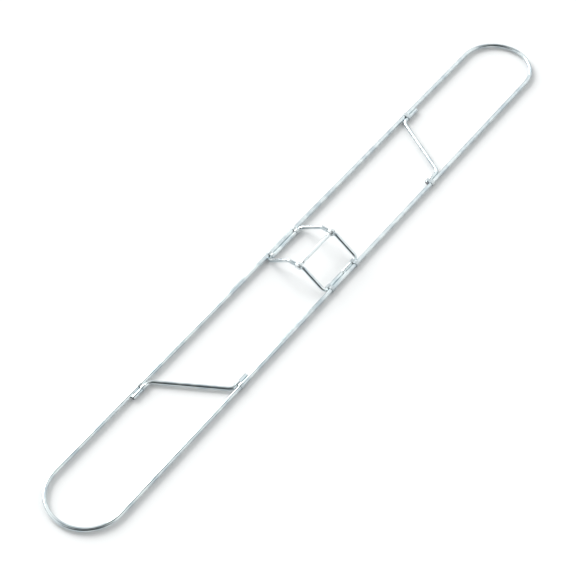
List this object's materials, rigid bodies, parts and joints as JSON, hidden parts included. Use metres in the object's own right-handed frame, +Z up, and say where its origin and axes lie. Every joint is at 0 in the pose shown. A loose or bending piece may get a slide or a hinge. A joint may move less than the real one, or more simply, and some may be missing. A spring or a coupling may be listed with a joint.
{
  "type": "dust mop frame",
  "caption": "Long flat wire loop with round ends, two Z-shaped cross braces, a raised centre bail and a sliding rod that a mop handle's clip snaps onto.",
  "frame": {"origin": "under the middle of the frame, in the plane the bands stand on", "axes": "+X along the frame towards its far end, +Y across it towards its left side wire, +Z up through the bail"},
  "size_m": [1.219, 0.131, 0.037],
  "materials": {
    "wire": "bright zinc plate over drawn steel wire",
    "strap": "bright zinc plate over cold rolled strip, with crimp marks",
    "rod": "zinc plate, slightly duller and bluer than the frame wire"
  },
  "bodies": {
    "frame": {"side_wire_left": "wire", "side_wire_right": "wire", "bow_near": "wire", "bow_far": "wire", "brace_leg_near_left": "wire", "brace_diagonal_near": "wire", "brace_leg_near_right": "wire", "brace_leg_far_left": "wire", "brace_diagonal_far": "wire", "brace_leg_far_right": "wire", "bail_top_near": "wire", "bail_top_far": "wire", "bail_leg_near_left": "wire", "bail_leg_near_right": "wire", "bail_leg_far_left": "wire", "bail_leg_far_right": "wire", "bail_run_left": "wire", "bail_tail_near": "wire", "bail_tail_far": "wire", "brace_band_near_left": "strap", "brace_band_near_right": "strap", "brace_band_far_left": "strap", "brace_band_far_right": "strap", "bail_band_near_left": "strap", "bail_band_near_right": "strap", "bail_band_far_left": "strap", "bail_band_far_right": "strap"},
    "clip_rod": {"clip_rod": "rod", "rod_eye_near": "rod", "rod_eye_far": "rod"}
  },
  "joints": [
    {"name": "rod_slide", "type": "slide", "parent": "frame", "child": "clip_rod", "axis": [0, 1, 0], "range_m": [-0.002, 0.012]}
  ]
}
